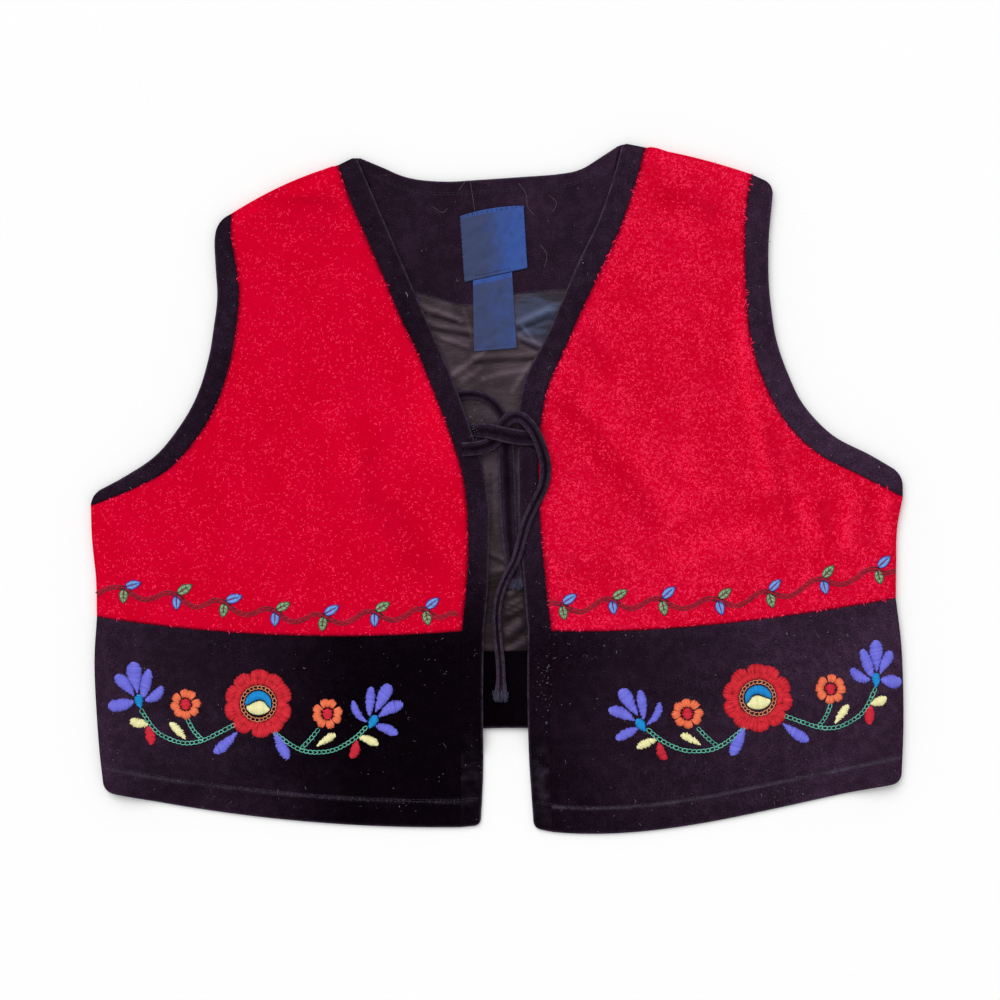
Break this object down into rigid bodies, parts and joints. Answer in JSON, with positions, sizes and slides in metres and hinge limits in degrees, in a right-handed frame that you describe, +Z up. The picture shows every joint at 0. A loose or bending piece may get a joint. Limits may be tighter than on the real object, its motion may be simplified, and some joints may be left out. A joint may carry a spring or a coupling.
{
  "type": "embroidered folk vest, open front, laid flat",
  "caption": "Cropped open-front folk vest lying flat: red felt body, black velveteen bands and lower band, lined back, half-bow ties at the neck.",
  "frame": {"origin": "middle of the bounding box, on the surface that the vest lies on", "axes": "+X to the wearer's left, +Y from hem to neck, +Z up through the fronts, which face up"},
  "size_m": [0.5095, 0.433, 0.0132],
  "materials": {
    "felt": "boiled wool felt, matt, short curly nap",
    "velveteen": "black cotton velveteen, short upright pile",
    "lining": "dark acetate satin, soft sheen",
    "ribbon": "navy woven label ribbon, bare"
  },
  "bodies": {
    "root": {"back_upper_panel": "felt", "back_lower_band": "velveteen", "back_neck_band": "velveteen", "back_right_armhole_band": "velveteen", "back_left_armhole_band": "velveteen", "back_neck_facing": "velveteen", "back_lining": "lining", "back_hem_facing": "velveteen", "neck_label": "ribbon", "care_label": "ribbon", "right_upper_front": "felt", "right_lower_front": "velveteen", "right_front_band": "velveteen", "right_armhole_band": "velveteen", "left_upper_front": "felt", "left_lower_front": "velveteen", "left_front_band": "velveteen", "left_armhole_band": "velveteen", "right_tie": "velveteen", "left_tie": "velveteen"}
  },
  "joints": []
}
